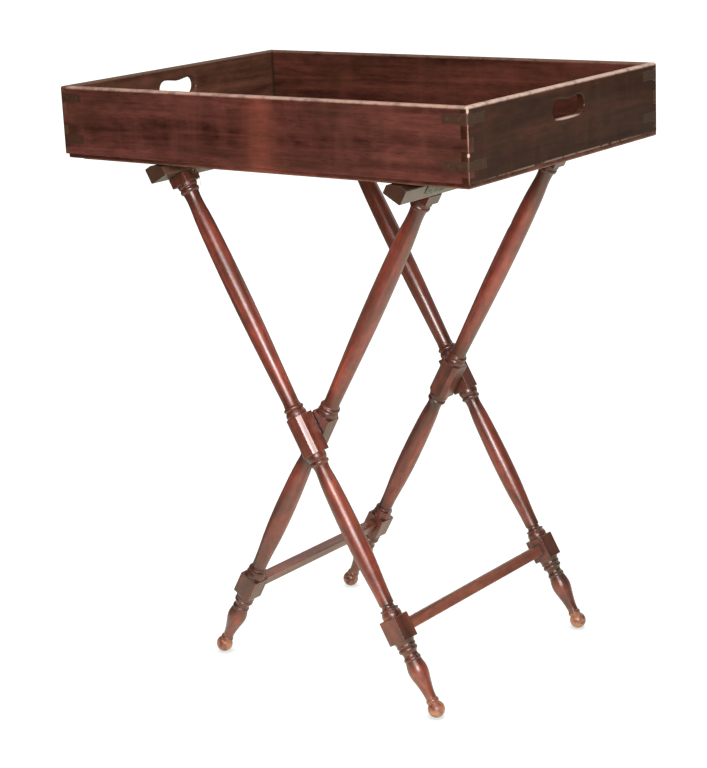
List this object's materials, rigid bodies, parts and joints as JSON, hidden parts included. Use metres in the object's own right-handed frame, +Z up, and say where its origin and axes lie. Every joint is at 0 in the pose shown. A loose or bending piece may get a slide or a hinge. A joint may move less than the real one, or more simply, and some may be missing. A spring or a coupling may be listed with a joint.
{
  "type": "folding tray table",
  "caption": "Rectangular lift-off tray with hand holes, resting on a folding X-shaped stand of turned legs with top rails, stretchers, ball feet and webbing straps.",
  "frame": {"origin": "on the floor under the centre of the tray", "axes": "+X along the tray's long side, +Y across it towards the back, +Z up"},
  "size_m": [0.74, 0.508, 0.9069],
  "materials": {
    "tray_mahogany": "dark red-brown polished mahogany, worn edges",
    "stand_mahogany": "red-brown polished turned mahogany",
    "brass": "tarnished brass",
    "iron": "dark iron",
    "webbing": "cream woven webbing"
  },
  "bodies": {
    "webbing": {"webbing_strap_front": "webbing", "webbing_strap_back": "webbing"},
    "outer_frame": {"outer_front_leg": "stand_mahogany", "outer_back_leg": "stand_mahogany", "outer_top_rail": "stand_mahogany", "outer_stretcher": "stand_mahogany", "outer_rail_pegs": "stand_mahogany", "outer_webbing_tacks": "iron", "pivot_pin_front": "iron", "pivot_pin_back": "iron", "pivot_washer_front": "iron", "pivot_washer_back": "iron"},
    "inner_frame": {"inner_front_leg": "stand_mahogany", "inner_back_leg": "stand_mahogany", "inner_top_rail": "stand_mahogany", "inner_stretcher": "stand_mahogany", "inner_rail_pegs": "stand_mahogany", "inner_webbing_tacks": "iron"},
    "tray": {"tray_front_wall": "tray_mahogany", "tray_back_wall": "tray_mahogany", "tray_left_wall": "tray_mahogany", "tray_right_wall": "tray_mahogany", "tray_bottom_board": "tray_mahogany", "tray_board_screws": "brass", "brass_strap_screws": "brass", "brass_strap_front_left_upper": "brass", "brass_strap_front_left_lower": "brass", "brass_strap_front_right_upper": "brass", "brass_strap_front_right_lower": "brass", "brass_strap_back_left_upper": "brass", "brass_strap_back_left_lower": "brass", "brass_strap_back_right_upper": "brass", "brass_strap_back_right_lower": "brass"}
  },
  "joints": [
    {"name": "stand_fold", "type": "hinge", "parent": "webbing", "child": "outer_frame", "pos_m": [-0.19453, 0, 0.79621], "axis": [0, 1, 0], "range_deg": [0, 26.7], "deforming": ["webbing_strap_front", "webbing_strap_back"]},
    {"name": "frame_pivot", "type": "hinge", "parent": "outer_frame", "child": "inner_frame", "pos_m": [0.031, 0, 0.40045], "axis": [0, 1, 0], "range_deg": [-53.4, 0]},
    {"name": "tray_lift", "type": "slide", "parent": "webbing", "child": "tray", "axis": [0, 0, 1], "range_m": [0, 0.35]}
  ],
  "couplings": [
    {"joint": "frame_pivot", "follows": "stand_fold", "ratio": -2}
  ]
}
